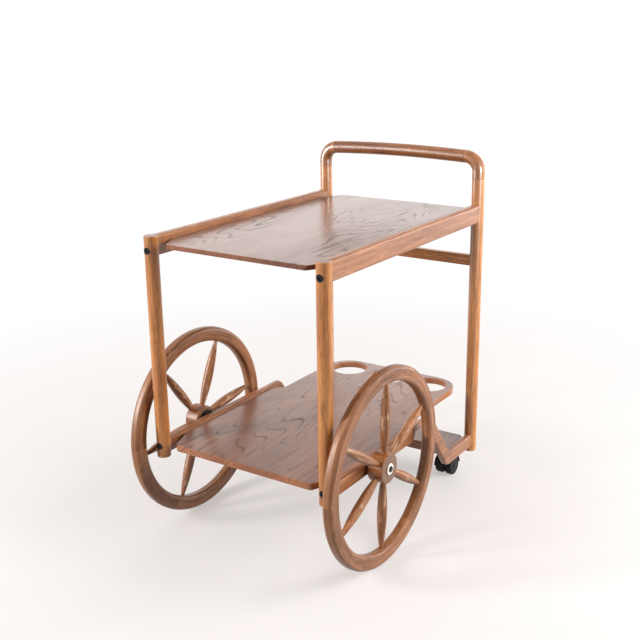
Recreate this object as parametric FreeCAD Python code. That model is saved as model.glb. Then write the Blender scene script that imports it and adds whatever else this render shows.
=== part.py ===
"""Wooden serving cart: two round-post side frames, a lipped tray, a shelf with bottle holes,
two tall spoked wheels at the front and two swivel casters under the rear.

Millimetres. +X is the cart's right, +Y runs from the front posts back to the handle, +Z is up.
The origin is on the floor, in the middle of the cart's plan. While the pieces are made, Y is
counted from the axis of the front posts; the export moves them all to the origin together.
"""
import FreeCAD, Part
import math
import os

from FreeCAD import Vector

# Posts and overall frame
POST_SPACING_X = 394.0
POST_SPACING_Y = 605.0
FRAME_TOP = 633.0
FRONT_POST_D = 28.0
FRONT_POST_BELOW_RAIL = 7.0
REAR_POST_D = 28.0
REAR_POST_BOTTOM = 53.0
POST_END_ROUND = 2.0
COPE_CLEARANCE = 0.1
CUT_PAST = 1.0

# Handle
HANDLE_RISE = 119.0
HANDLE_ARCH = 4.0
HANDLE_BEND_R = 32.0
CORNER_LEG = 14.0
HANDLE_JOINT_EASE = 0.6

# Upper rails and tray
UPPER_RAIL_H = 40.0
UPPER_RAIL_T = 19.0
RAIL_ROUND = 5.0
TRAY_T = 9.5
TRAY_LIP = 13.0
TRAY_GROOVE = 5.0
TRAY_TONGUE_T = 4.0
TRAY_FRONT_Y = -1.0
TRAY_BACK_OVERHANG = 15.0
TRAY_CORNER_IN = 28.0
TRAY_CORNER_LONG = 52.0
PANEL_TIP_R = 9.0
PANEL_EDGE_ROUND = 1.2
SEAT_CLEARANCE = 0.1

# Rear cross rail
CROSS_RAIL_H = 24.0
CROSS_RAIL_T = 18.0
CROSS_RAIL_BELOW_TRAY = 92.0
CROSS_RAIL_ROUND = 4.0
CROSS_DOWELS_APART = 12.0

# Lower rails and shelf
LOWER_RAIL_H = 30.0
LOWER_RAIL_T = 20.0
LOWER_RAIL_END_Y = 320.0
LOWER_RAIL_END_R = 20.0
SHELF_T = 14.0
SHELF_LIP = 5.0
SHELF_FRONT_Y = -1.0
SHELF_CORNER_IN = 24.0
SHELF_CORNER_LONG = 60.0
SHELF_STEP_Y = 352.0
SHELF_STEP_LONG = 26.0
SHELF_STEP_IN = 21.0
SHELF_STEP_R = 14.0
SHELF_BACK_OVERHANG = 12.0
SHELF_BACK_R = 60.0
BOTTLE_HOLE_D = 84.0
BOTTLE_COUNT = 3
BOTTLE_RIM = 12.0
BOTTLE_SIDE_RIM = 17.0

# Rear brackets, from the lower rails down to the vertex and back to the rear posts
BRACKET_T = 15.0
BRACKET_NECK_H = 14.0
BRACKET_CREST_Y = 395.0
BRACKET_CREST_R = 18.0
BRACKET_ARM_W = 28.0
BRACKET_ARM_ANGLE = 53.0
BRACKET_ARM_R = 15.0
BRACKET_FOOT_BOTTOM = 64.0
BRACKET_FOOT_H = 31.0
BRACKET_INNER_R = 6.0
BRACKET_VERTEX_R = 26.0
BRACKET_EDGE_ROUND = 4.5
TENON_T = 8.0
TENON_H = 8.0
TENON_LONG = 34.0

# Bottle board and the batten that carries it and the casters
BOARD_T = 8.0
BOARD_FRONT_Y = 521.0
BOARD_LONG = 83.0
BOARD_SIDE_GAP = 8.0
BOARD_CORNER_R = 14.0
BATTEN_T = 16.0
BATTEN_DEEP = 56.0
BATTEN_SETBACK = 4.0
BATTEN_ROUND = 2.0
BATTEN_BELOW_FOOT = 4.0
BATTEN_DOWEL_INSET = 11.0

# Dowels and screws
DOWEL_D = 8.0
DOWEL_INNER = 12.0
DOWEL_OUTER = 8.0
SMALL_DOWEL_D = 6.0
DOWEL_CLEARANCE = 0.05
SHELF_DOWEL_YS = (88.0, 205.0, 265.0)
SCREW_D = 4.0
SCREW_HEAD_D = 8.0
SCREW_HEAD_H = 3.0
SCREW_LONG = 20.0
SCREW_X = 90.0

# Connector bolts and barrel nuts
BOLT_D = 6.0
BOLT_HOLE_CLEARANCE = 0.2
BOLT_HEAD_D = 14.0
BOLT_HEAD_H = 4.5
BOLT_HEAD_PROUD = 0.5
BOLT_HEAD_ROUND = 1.5
BOLT_HEAD_CLEARANCE = 0.4
BOLT_SOCKET_AF = 5.0
BOLT_SOCKET_DEEP = 3.0
BOLT_PAST_NUT = 6.0
NUT_D = 10.0
NUT_LONG = 12.0
NUT_FROM_POST = 45.0
UPPER_BOLT_BELOW_TOP = 28.0
LOWER_BOLT_ABOVE_AXLE = 3.0
HEXAGON_SIDES = 6

# Big wheels
WHEEL_R = 200.0
WHEEL_PLANE_X = 230.0
AXLE_Y = 148.0
RIM_DEEP = 31.0
RIM_T = 22.0
RIM_ROUND = 8.0
RIM_SECTION_T = 1.0
HUB_D = 60.0
HUB_LONG = 33.0
HUB_ROUND = 3.0
HUB_GAP = 0.3
SPOKE_COUNT = 6
SPOKE_HUB_D = 10.5
SPOKE_BELLY_D = 19.5
SPOKE_BELLY_SHARE = 0.39
SPOKE_RIM_D = 6.8
SPOKE_TENON = 11.0
SPOKE_ANGLE_RIGHT = 87.0
SPOKE_ANGLE_LEFT = 67.0
BUSH_WALL = 3.0
AXLE_D = 12.0
AXLE_CLEARANCE = 0.05
AXLE_IN_RAIL = 16.0
AXLE_END_PROUD = 2.2
AXLE_END_CHAMFER = 0.8
SPACER_D = 44.0
SPACER_T = 3.2
RETAINER_D = 22.0
RETAINER_T = 1.5

# Casters
CASTER_X = 158.0
CASTER_Y = 552.0
CASTER_WHEEL_D = 44.0
CASTER_WHEEL_T = 17.0
CASTER_WHEEL_ROUND = 4.0
CASTER_TRAIL = 14.0
CASTER_AXLE_D = 6.0
CASTER_AXLE_HEAD_D = 10.0
CASTER_AXLE_HEAD_T = 1.2
CASTER_SIDE_GAP = 0.5
CASTER_WEB_T = 6.0
CASTER_HOOD_GAP = 1.0
CASTER_HOOD_WALL = 2.5
CASTER_HOOD_ABOVE_AXLE = 1.0
CASTER_BOSS_D = 20.0
CASTER_STEM_D = 8.0
CASTER_STEM_IN_BOSS = 16.0
CASTER_STEM_TOP_GAP = 1.0
CASTER_SOCKET_WALL = 1.5
CASTER_SOCKET_LONG = 14.0
CASTER_FLANGE_D = 19.0
CASTER_FLANGE_T = 1.2
CASTER_FLANGE_GAP = 0.3

# Places that follow from the sizes above
HANDLE_TOP = FRAME_TOP + HANDLE_RISE
POST_X = POST_SPACING_X / 2
FRONT_POST_R = FRONT_POST_D / 2
REAR_POST_R = REAR_POST_D / 2
RAIL_FACE_X = POST_X - UPPER_RAIL_T / 2
LOWER_FACE_X = POST_X - LOWER_RAIL_T / 2
BRACKET_FACE_X = POST_X - BRACKET_T / 2
TRAY_TOP = FRAME_TOP - TRAY_LIP
TRAY_BOTTOM = TRAY_TOP - TRAY_T
TRAY_BACK_Y = POST_SPACING_Y + TRAY_BACK_OVERHANG
CROSS_RAIL_Z = TRAY_BOTTOM - CROSS_RAIL_BELOW_TRAY - CROSS_RAIL_H / 2
LOWER_RAIL_TOP = WHEEL_R + LOWER_RAIL_H / 2
FRONT_POST_BOTTOM = LOWER_RAIL_TOP - LOWER_RAIL_H - FRONT_POST_BELOW_RAIL
SHELF_TOP = LOWER_RAIL_TOP - SHELF_LIP
SHELF_MID = SHELF_TOP - SHELF_T / 2
SHELF_BACK_Y = POST_SPACING_Y + SHELF_BACK_OVERHANG
SHELF_BACK_X = LOWER_FACE_X - SHELF_STEP_IN
BOTTLE_Y = SHELF_BACK_Y - BOTTLE_RIM - BOTTLE_HOLE_D / 2
BOTTLE_END_X = SHELF_BACK_X - BOTTLE_SIDE_RIM - BOTTLE_HOLE_D / 2
BOTTLE_PITCH = 2 * BOTTLE_END_X / (BOTTLE_COUNT - 1)
BATTEN_BOTTOM = BRACKET_FOOT_BOTTOM - BATTEN_BELOW_FOOT
BATTEN_TOP = BATTEN_BOTTOM + BATTEN_T
BOARD_TOP = BATTEN_TOP + BOARD_T
BATTEN_Y = BOARD_FRONT_Y + BATTEN_SETBACK
UPPER_BOLT_Z = FRAME_TOP - UPPER_BOLT_BELOW_TOP
LOWER_BOLT_Z = WHEEL_R + LOWER_BOLT_ABOVE_AXLE
FOOT_BOLT_Z = BRACKET_FOOT_BOTTOM + BRACKET_FOOT_H / 2
RAIL_OUTER_X = POST_X + LOWER_RAIL_T / 2
HUB_INNER_X = RAIL_OUTER_X + SPACER_T + HUB_GAP
HUB_OUTER_X = HUB_INNER_X + HUB_LONG
RIM_INNER_R = WHEEL_R - RIM_DEEP
CASTER_AXLE_Z = CASTER_WHEEL_D / 2
CASTER_AXLE_Y = CASTER_Y + CASTER_TRAIL
FLANGE_BOTTOM = BATTEN_BOTTOM - CASTER_FLANGE_T
BOSS_TOP = FLANGE_BOTTOM - CASTER_FLANGE_GAP
FRONT_END_Y = min(AXLE_Y - WHEEL_R, -FRONT_POST_R - BOLT_HEAD_PROUD)
BACK_END_Y = max(TRAY_BACK_Y, SHELF_BACK_Y, POST_SPACING_Y + REAR_POST_R + BOLT_HEAD_PROUD)
MIDDLE_Y = (FRONT_END_Y + BACK_END_Y) / 2

X_AXIS = Vector(1, 0, 0)
Y_AXIS = Vector(0, 1, 0)
Z_AXIS = Vector(0, 0, 1)
ORIGIN = Vector(0, 0, 0)

AXLE_INNER = Vector(RAIL_OUTER_X - AXLE_IN_RAIL, AXLE_Y, WHEEL_R)
HUB_INNER = Vector(HUB_INNER_X, AXLE_Y, WHEEL_R)
HUB_OUTER = Vector(HUB_OUTER_X, AXLE_Y, WHEEL_R)
WHEEL_CENTRE = Vector(WHEEL_PLANE_X, AXLE_Y, WHEEL_R)
RETAINER_INNER = HUB_OUTER + X_AXIS * HUB_GAP
RETAINER_OUTER = RETAINER_INNER + X_AXIS * RETAINER_T

nodes = {}


def add(name, *solids):
    """Keep a node as one solid, or as a group of separate solids."""
    nodes[name] = solids[0] if len(solids) == 1 else Part.makeCompound(list(solids))


def left(shape):
    """The same shape on the cart's left side."""
    return shape.mirror(ORIGIN, X_AXIS)


def add_pair(name, shape):
    add(name + "_right", shape)
    add(name + "_left", left(shape))


def block(x0, x1, y0, y1, z0, z1):
    return Part.makeBox(x1 - x0, y1 - y0, z1 - z0, Vector(x0, y0, z0))


def rod(radius, start, end):
    """Cylinder between two points."""
    run = end - start
    return Part.makeCylinder(radius, run.Length, start, run)


def edges_along(shape, axis):
    """Straight edges of a shape that run along an axis."""
    found = []
    for edge in shape.Edges:
        if isinstance(edge.Curve, Part.Line) and abs(edge.Curve.Direction.dot(axis)) > 0.999:
            found.append(edge)
    return found


def bar(x0, x1, y0, y1, z0, z1, axis, radius):
    """Block with its long edges rounded."""
    plain = block(x0, x1, y0, y1, z0, z1)
    return plain.makeFillet(radius, edges_along(plain, axis))


def rounded_outline(corners):
    """Closed wire through corners (point, radius), with an arc at each corner that has a radius."""
    legs = []
    count = len(corners)
    for index, (point, radius) in enumerate(corners):
        back = (corners[index - 1][0] - point).normalize()
        ahead = (corners[(index + 1) % count][0] - point).normalize()
        if radius == 0:
            legs.append((point, None, point))
            continue
        half = back.getAngle(ahead) / 2
        reach = radius / math.tan(half)
        bisector = (back + ahead).normalize()
        middle = point + bisector * (radius / math.sin(half) - radius)
        legs.append((point + back * reach, middle, point + ahead * reach))
    edges = []
    for index, (start, middle, end) in enumerate(legs):
        if middle is not None:
            edges.append(Part.Arc(start, middle, end).toShape())
        following = legs[(index + 1) % count][0]
        edges.append(Part.makeLine(end, following))
    return Part.Wire(edges)


def plate(corners, travel):
    return Part.Face(rounded_outline(corners)).extrude(travel)


def mirrored_plan(half, z):
    """Full plan outline from its right half, which runs from front to back."""
    right_side = [(Vector(x, y, z), radius) for x, y, radius in half]
    left_side = [(Vector(-x, y, z), radius) for x, y, radius in reversed(half)]
    return right_side + left_side


def soften_rims(shape, low, high, radius):
    """Round the edges that lie on a panel's bottom and top faces."""
    rims = []
    for edge in shape.Edges:
        heights = [vertex.Z for vertex in edge.Vertexes]
        if all(abs(z - low) < 1e-6 for z in heights) or all(abs(z - high) < 1e-6 for z in heights):
            rims.append(edge)
    return shape.makeFillet(radius, rims)


# Bolts into the posts
def bolt_path(post_y, outward, post_r, z):
    """Seat, tip and nut places of one connector bolt; outward is -1 at the front, +1 at the back."""
    crown = post_y + outward * post_r
    seat = crown - outward * (BOLT_HEAD_H - BOLT_HEAD_PROUD)
    nut = post_y - outward * NUT_FROM_POST
    tip = nut - outward * BOLT_PAST_NUT
    return Vector(POST_X, seat, z), Vector(POST_X, tip, z), Vector(POST_X, nut, z)


FRONT_UPPER = bolt_path(0.0, -1, FRONT_POST_R, UPPER_BOLT_Z)
FRONT_LOWER = bolt_path(0.0, -1, FRONT_POST_R, LOWER_BOLT_Z)
REAR_UPPER = bolt_path(POST_SPACING_Y, 1, REAR_POST_R, UPPER_BOLT_Z)
REAR_FOOT = bolt_path(POST_SPACING_Y, 1, REAR_POST_R, FOOT_BOLT_Z)


def connector_bolt(path):
    """Button-headed bolt with a hexagon socket."""
    seat, tip = path[:2]
    outward = (seat - tip).normalize()
    face = seat + outward * BOLT_HEAD_H
    head = rod(BOLT_HEAD_D / 2, seat, face)
    rim = [edge for edge in head.Edges if edge.CenterOfMass.isEqual(face, 1e-6)]
    head = head.makeFillet(BOLT_HEAD_ROUND, rim)
    across = BOLT_SOCKET_AF / math.sqrt(3)
    hexagon = []
    for step in range(HEXAGON_SIDES + 1):
        turn = 2 * math.pi * step / HEXAGON_SIDES
        hexagon.append(face + Vector(across * math.cos(turn), 0, across * math.sin(turn)))
    socket = Part.Face(Part.makePolygon(hexagon)).extrude(outward * -BOLT_SOCKET_DEEP)
    return head.fuse(rod(BOLT_D / 2, tip, seat)).removeSplitter().cut(socket)


def bolt_hole(path):
    """Clear hole for a bolt, with the flat-bottomed seat of its head."""
    seat, tip = path[:2]
    outward = (seat - tip).normalize()
    shank = rod(BOLT_D / 2 + BOLT_HOLE_CLEARANCE, tip - outward * BOLT_PAST_NUT, seat)
    return shank.fuse(rod(BOLT_HEAD_D / 2 + BOLT_HEAD_CLEARANCE, seat, seat + outward * FRONT_POST_D))


def nut_hole(path, face_x):
    """Blind cross hole for a barrel nut, bored from the inner face of the rail."""
    nut = path[2]
    start = Vector(face_x - CUT_PAST, nut.y, nut.z)
    return rod(NUT_D / 2 + SEAT_CLEARANCE, start, Vector(POST_X + NUT_LONG / 2, nut.y, nut.z))


def barrel_nut(path):
    nut = path[2]
    reach = X_AXIS * (NUT_LONG / 2)
    body = rod(NUT_D / 2, nut - reach, nut + reach)
    return body.cut(rod(BOLT_D / 2 + SEAT_CLEARANCE, nut - Y_AXIS * NUT_D, nut + Y_AXIS * NUT_D))


def add_fasteners():
    front = [connector_bolt(FRONT_UPPER), connector_bolt(FRONT_LOWER)]
    rear = [connector_bolt(REAR_UPPER), connector_bolt(REAR_FOOT)]
    nuts = [barrel_nut(path) for path in (FRONT_UPPER, FRONT_LOWER, REAR_UPPER, REAR_FOOT)]
    add("front_bolts", *front, *[left(bolt) for bolt in front])
    add("rear_bolts", *rear, *[left(bolt) for bolt in rear])
    add("barrel_nuts", *nuts, *[left(nut) for nut in nuts])


# Handle geometry
def handle_slope():
    """Angle at which the arched bar leaves its corner, from the arch's rise over its half span."""
    slope = 0.0
    for _ in range(30):
        half_span = POST_X - HANDLE_BEND_R + HANDLE_BEND_R * math.sin(slope)
        slope = 2 * math.atan(HANDLE_ARCH / half_span)
    return slope, half_span


HANDLE_SLOPE, HANDLE_HALF_SPAN = handle_slope()
HANDLE_TURN = math.pi / 2 - HANDLE_SLOPE
HANDLE_END_Z = HANDLE_TOP - REAR_POST_R - HANDLE_ARCH
BEND_START_Z = HANDLE_END_Z - HANDLE_BEND_R * math.sin(HANDLE_TURN)
REAR_POST_TOP = BEND_START_Z - CORNER_LEG


def dowel(start, end, diameter):
    return rod(diameter / 2, start, end)


def dowel_hole(start, end, diameter):
    return rod(diameter / 2 + DOWEL_CLEARANCE, start, end)


HANDLE_POST_DOWEL = (
    Vector(POST_X, POST_SPACING_Y, REAR_POST_TOP - DOWEL_INNER),
    Vector(POST_X, POST_SPACING_Y, REAR_POST_TOP + DOWEL_INNER),
)
BAR_DIRECTION = Vector(math.cos(HANDLE_SLOPE), 0, -math.sin(HANDLE_SLOPE))
BAR_END = Vector(HANDLE_HALF_SPAN, POST_SPACING_Y, HANDLE_END_Z)
HANDLE_BAR_DOWEL = (BAR_END - BAR_DIRECTION * DOWEL_INNER, BAR_END + BAR_DIRECTION * DOWEL_OUTER)


def ease_end(shape, centre):
    """Break the round edge at one end of a handle piece, so that its joint shows as a fine line."""
    rims = []
    for edge in shape.Edges:
        if edge.CenterOfMass.isEqual(centre, 1e-3) and edge.BoundBox.DiagonalLength > REAR_POST_D:
            rims.append(edge)
    return shape.makeChamfer(HANDLE_JOINT_EASE, rims)


def handle_corner():
    """Bent corner between the top of a rear post and the arched bar."""
    start = Vector(POST_X, POST_SPACING_Y, BEND_START_Z)
    centre = Vector(POST_X - HANDLE_BEND_R, POST_SPACING_Y, BEND_START_Z)
    section = Part.Face(Part.Wire(Part.makeCircle(REAR_POST_R, start, Z_AXIS)))
    bend = section.revolve(centre, Vector(0, -1, 0), math.degrees(HANDLE_TURN))
    leg = rod(REAR_POST_R, Vector(POST_X, POST_SPACING_Y, REAR_POST_TOP), start)
    bend = bend.cut(dowel_hole(*HANDLE_BAR_DOWEL, DOWEL_D))
    leg = leg.cut(dowel_hole(*HANDLE_POST_DOWEL, DOWEL_D))
    corner = bend.fuse(leg).removeSplitter()
    return ease_end(ease_end(corner, Vector(POST_X, POST_SPACING_Y, REAR_POST_TOP)), BAR_END)


def handle_bar():
    """Gently arched round bar between the two corners."""
    arch_r = HANDLE_HALF_SPAN / math.sin(HANDLE_SLOPE)
    centre = Vector(0, POST_SPACING_Y, HANDLE_END_Z - arch_r * math.cos(HANDLE_SLOPE))
    section = Part.Face(Part.Wire(Part.makeCircle(REAR_POST_R, BAR_END, BAR_DIRECTION)))
    arched = section.revolve(centre, Vector(0, -1, 0), math.degrees(2 * HANDLE_SLOPE))
    far_end = Vector(-BAR_END.x, BAR_END.y, BAR_END.z)
    arched = ease_end(ease_end(arched, BAR_END), far_end)
    hole = dowel_hole(*HANDLE_BAR_DOWEL, DOWEL_D)
    return arched.cut(hole).cut(left(hole))


def add_handle():
    add_pair("handle_corner", handle_corner())
    add("handle_bar", handle_bar())
    pins = [dowel(*HANDLE_POST_DOWEL, DOWEL_D), dowel(*HANDLE_BAR_DOWEL, DOWEL_D)]
    add("handle_dowels", *pins, *[left(pin) for pin in pins])


# Posts
def front_post():
    foot = Vector(POST_X, 0, FRONT_POST_BOTTOM)
    post = rod(FRONT_POST_R, foot, Vector(POST_X, 0, FRAME_TOP))
    rims = [edge for edge in post.Edges if isinstance(edge.Curve, Part.Circle)]
    post = post.makeFillet(POST_END_ROUND, rims)
    return post.cut(bolt_hole(FRONT_UPPER)).cut(bolt_hole(FRONT_LOWER))


def cross_dowels():
    """Two dowels in the right-hand end of the rear cross rail."""
    places = []
    for side in (-1, 1):
        z = CROSS_RAIL_Z + side * CROSS_DOWELS_APART / 2
        inner = Vector(POST_X - REAR_POST_R - DOWEL_INNER, POST_SPACING_Y, z)
        places.append((inner, Vector(POST_X - REAR_POST_R + DOWEL_OUTER, POST_SPACING_Y, z)))
    return places


def rear_post():
    foot = Vector(POST_X, POST_SPACING_Y, REAR_POST_BOTTOM)
    post = rod(REAR_POST_R, foot, Vector(POST_X, POST_SPACING_Y, REAR_POST_TOP))
    rims = [edge for edge in post.Edges if edge.CenterOfMass.isEqual(foot, 1e-6)]
    post = post.makeFillet(POST_END_ROUND, rims)
    post = ease_end(post, Vector(POST_X, POST_SPACING_Y, REAR_POST_TOP))
    post = post.cut(bolt_hole(REAR_UPPER)).cut(bolt_hole(REAR_FOOT))
    post = post.cut(dowel_hole(*HANDLE_POST_DOWEL, DOWEL_D))
    for start, end in cross_dowels():
        post = post.cut(dowel_hole(start, end, SMALL_DOWEL_D))
    return post


def post_cope(y, radius):
    """Round that a rail's end is coped to, a hair wider than the post."""
    return rod(radius + COPE_CLEARANCE, Vector(POST_X, y, 0), Vector(POST_X, y, HANDLE_TOP))


FRONT_COPE = post_cope(0.0, FRONT_POST_R)
REAR_COPE = post_cope(POST_SPACING_Y, REAR_POST_R)


# Upper rails, tray and rear cross rail
def tray_layer(half_width, bottom, thickness):
    """Slab of the tray's plan, with its corners drawn in towards the front and the back."""
    tip = RAIL_FACE_X - TRAY_CORNER_IN
    lean = (half_width - tip) / TRAY_CORNER_IN
    half = [
        (tip, TRAY_FRONT_Y, PANEL_TIP_R),
        (half_width, TRAY_FRONT_Y + TRAY_CORNER_LONG * lean, 0),
        (half_width, TRAY_BACK_Y - TRAY_CORNER_LONG * lean, 0),
        (tip, TRAY_BACK_Y, PANEL_TIP_R),
    ]
    return plate(mirrored_plan(half, bottom), Z_AXIS * thickness)


def tray_tongue(grow):
    """Layer of the tray that reaches into the rails' grooves; grow makes the groove a hair larger."""
    bottom = TRAY_BOTTOM + (TRAY_T - TRAY_TONGUE_T) / 2 - grow
    return tray_layer(RAIL_FACE_X + TRAY_GROOVE + grow, bottom, TRAY_TONGUE_T + 2 * grow)


def upper_tray():
    """Panel between the rails, with a tongue along each side."""
    panel = tray_layer(RAIL_FACE_X - SEAT_CLEARANCE, TRAY_BOTTOM, TRAY_T)
    panel = soften_rims(panel, TRAY_BOTTOM, TRAY_TOP, PANEL_EDGE_ROUND)
    return panel.fuse(tray_tongue(0.0)).removeSplitter()


def upper_rail():
    rail = bar(RAIL_FACE_X, POST_X + UPPER_RAIL_T / 2, 0, POST_SPACING_Y,
               FRAME_TOP - UPPER_RAIL_H, FRAME_TOP, Y_AXIS, RAIL_ROUND)
    rail = rail.cut(FRONT_COPE).cut(REAR_COPE).cut(tray_tongue(SEAT_CLEARANCE))
    for path in (FRONT_UPPER, REAR_UPPER):
        rail = rail.cut(bolt_hole(path)).cut(nut_hole(path, RAIL_FACE_X))
    return rail


def rear_cross_rail():
    low = CROSS_RAIL_Z - CROSS_RAIL_H / 2
    rail = bar(-POST_X, POST_X, POST_SPACING_Y - CROSS_RAIL_T / 2, POST_SPACING_Y + CROSS_RAIL_T / 2,
               low, low + CROSS_RAIL_H, X_AXIS, CROSS_RAIL_ROUND)
    rail = rail.cut(REAR_COPE).cut(left(REAR_COPE))
    for start, end in cross_dowels():
        hole = dowel_hole(start, end, SMALL_DOWEL_D)
        rail = rail.cut(hole).cut(left(hole))
    return rail


def add_upper_frame():
    add_pair("front_post", front_post())
    add_pair("rear_post", rear_post())
    add_pair("upper_rail", upper_rail())
    add("upper_tray", upper_tray())
    add("rear_cross_rail", rear_cross_rail())
    pins = [dowel(start, end, SMALL_DOWEL_D) for start, end in cross_dowels()]
    add("cross_rail_dowels", *pins, *[left(pin) for pin in pins])


# Lower rails, shelf and rear brackets
def bracket_tenon(grow):
    """Tongue on the bracket's neck; grow makes the mortise a hair larger."""
    middle = LOWER_RAIL_TOP - BRACKET_NECK_H / 2
    return block(POST_X - TENON_T / 2 - grow, POST_X + TENON_T / 2 + grow,
                 LOWER_RAIL_END_Y - TENON_LONG - grow, LOWER_RAIL_END_Y + CUT_PAST,
                 middle - TENON_H / 2 - grow, middle + TENON_H / 2 + grow)


def shelf_dowels():
    places = []
    for y in SHELF_DOWEL_YS:
        inner = Vector(LOWER_FACE_X - DOWEL_INNER, y, SHELF_MID)
        places.append((inner, Vector(LOWER_FACE_X + DOWEL_OUTER, y, SHELF_MID)))
    return places


def lower_rail():
    low = LOWER_RAIL_TOP - LOWER_RAIL_H
    corners = [
        (Vector(LOWER_FACE_X, 0, low), 0),
        (Vector(LOWER_FACE_X, LOWER_RAIL_END_Y, low), LOWER_RAIL_END_R),
        (Vector(LOWER_FACE_X, LOWER_RAIL_END_Y, LOWER_RAIL_TOP), 0),
        (Vector(LOWER_FACE_X, 0, LOWER_RAIL_TOP), 0),
    ]
    rail = plate(corners, X_AXIS * LOWER_RAIL_T)
    rail = rail.makeFillet(RAIL_ROUND, edges_along(rail, Y_AXIS))
    rail = rail.cut(FRONT_COPE).cut(bracket_tenon(SEAT_CLEARANCE))
    rail = rail.cut(bolt_hole(FRONT_LOWER)).cut(nut_hole(FRONT_LOWER, LOWER_FACE_X))
    for start, end in shelf_dowels():
        rail = rail.cut(dowel_hole(start, end, SMALL_DOWEL_D))
    return rail.cut(rod(AXLE_D / 2 + DOWEL_CLEARANCE, AXLE_INNER, HUB_INNER))


def lower_shelf():
    """Shelf with drawn-in front corners, a narrower back and a row of bottle holes."""
    half = [
        (LOWER_FACE_X - SHELF_CORNER_IN, SHELF_FRONT_Y, PANEL_TIP_R),
        (LOWER_FACE_X, SHELF_FRONT_Y + SHELF_CORNER_LONG, 0),
        (LOWER_FACE_X, SHELF_STEP_Y, SHELF_STEP_R),
        (SHELF_BACK_X, SHELF_STEP_Y + SHELF_STEP_LONG, SHELF_STEP_R),
        (SHELF_BACK_X, SHELF_BACK_Y, SHELF_BACK_R),
    ]
    low = SHELF_TOP - SHELF_T
    shelf = plate(mirrored_plan(half, low), Z_AXIS * SHELF_T)
    for index in range(BOTTLE_COUNT):
        centre = Vector(index * BOTTLE_PITCH - BOTTLE_END_X, BOTTLE_Y, low)
        shelf = shelf.cut(rod(BOTTLE_HOLE_D / 2, centre, centre + Z_AXIS * SHELF_T))
    shelf = soften_rims(shelf, low, SHELF_TOP, PANEL_EDGE_ROUND)
    for start, end in shelf_dowels():
        hole = dowel_hole(start, end, SMALL_DOWEL_D)
        shelf = shelf.cut(hole).cut(left(hole))
    return shelf


def batten_dowels():
    """Two dowels in the right-hand end of the batten, just above the bracket's lower edge."""
    z = (BRACKET_FOOT_BOTTOM + BATTEN_TOP) / 2
    places = []
    for y in (BATTEN_Y + BATTEN_DOWEL_INSET, BATTEN_Y + BATTEN_DEEP - BATTEN_DOWEL_INSET):
        inner = Vector(BRACKET_FACE_X - DOWEL_INNER, y, z)
        places.append((inner, Vector(BRACKET_FACE_X + DOWEL_OUTER, y, z)))
    return places


def rear_bracket():
    """Sawn bracket: neck at the lower rail, slanting arm, rounded vertex and foot to the rear post."""
    slant = math.radians(BRACKET_ARM_ANGLE)
    foot_top = BRACKET_FOOT_BOTTOM + BRACKET_FOOT_H
    neck_bottom = LOWER_RAIL_TOP - BRACKET_NECK_H
    across = BRACKET_ARM_W / math.sin(slant)

    def back_edge_y(z):
        return BRACKET_CREST_Y + (LOWER_RAIL_TOP - z) / math.tan(slant)

    x = BRACKET_FACE_X
    corners = [
        (Vector(x, LOWER_RAIL_END_Y, neck_bottom), 0),
        (Vector(x, LOWER_RAIL_END_Y, LOWER_RAIL_TOP), 0),
        (Vector(x, BRACKET_CREST_Y, LOWER_RAIL_TOP), BRACKET_CREST_R),
        (Vector(x, back_edge_y(foot_top), foot_top), BRACKET_INNER_R),
        (Vector(x, POST_SPACING_Y, foot_top), 0),
        (Vector(x, POST_SPACING_Y, BRACKET_FOOT_BOTTOM), 0),
        (Vector(x, back_edge_y(BRACKET_FOOT_BOTTOM) - across, BRACKET_FOOT_BOTTOM), BRACKET_VERTEX_R),
        (Vector(x, back_edge_y(neck_bottom) - across, neck_bottom), BRACKET_ARM_R),
    ]
    bracket = plate(corners, X_AXIS * BRACKET_T)
    ends = (LOWER_RAIL_END_Y, POST_SPACING_Y)
    rims = []
    for edge in bracket.Edges:
        square_to_plate = abs(edge.BoundBox.XLength) > 1e-6
        at_an_end = any(abs(edge.CenterOfMass.y - y) < 1e-6 for y in ends)
        if not square_to_plate and not at_an_end:
            rims.append(edge)
    bracket = bracket.makeFillet(BRACKET_EDGE_ROUND, rims)
    bracket = bracket.fuse(bracket_tenon(0.0)).removeSplitter()
    bracket = bracket.cut(REAR_COPE).cut(bolt_hole(REAR_FOOT)).cut(nut_hole(REAR_FOOT, BRACKET_FACE_X))
    for start, end in batten_dowels():
        bracket = bracket.cut(dowel_hole(start, end, SMALL_DOWEL_D))
    return bracket


def add_lower_frame():
    add_pair("lower_rail", lower_rail())
    add_pair("rear_bracket", rear_bracket())
    add("lower_shelf", lower_shelf())
    pins = [dowel(start, end, SMALL_DOWEL_D) for start, end in shelf_dowels()]
    add("shelf_dowels", *pins, *[left(pin) for pin in pins])


# Bottle board and batten
def screw_places():
    middle = BATTEN_Y + BATTEN_DEEP / 2
    return [Vector(SCREW_X, middle, BATTEN_BOTTOM), Vector(-SCREW_X, middle, BATTEN_BOTTOM)]


def board_screw(place):
    """Countersunk screw driven up through the batten into the board."""
    top = place + Z_AXIS * SCREW_LONG
    head = Part.makeCone(SCREW_HEAD_D / 2, SCREW_D / 2, SCREW_HEAD_H, place, Z_AXIS)
    return head.fuse(rod(SCREW_D / 2, place + Z_AXIS * SCREW_HEAD_H, top)).removeSplitter()


def screw_hole(place):
    grow = DOWEL_CLEARANCE
    head = Part.makeCone(SCREW_HEAD_D / 2 + grow, SCREW_D / 2 + grow, SCREW_HEAD_H, place, Z_AXIS)
    return head.fuse(rod(SCREW_D / 2 + grow, place, place + Z_AXIS * (SCREW_LONG + grow)))


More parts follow.
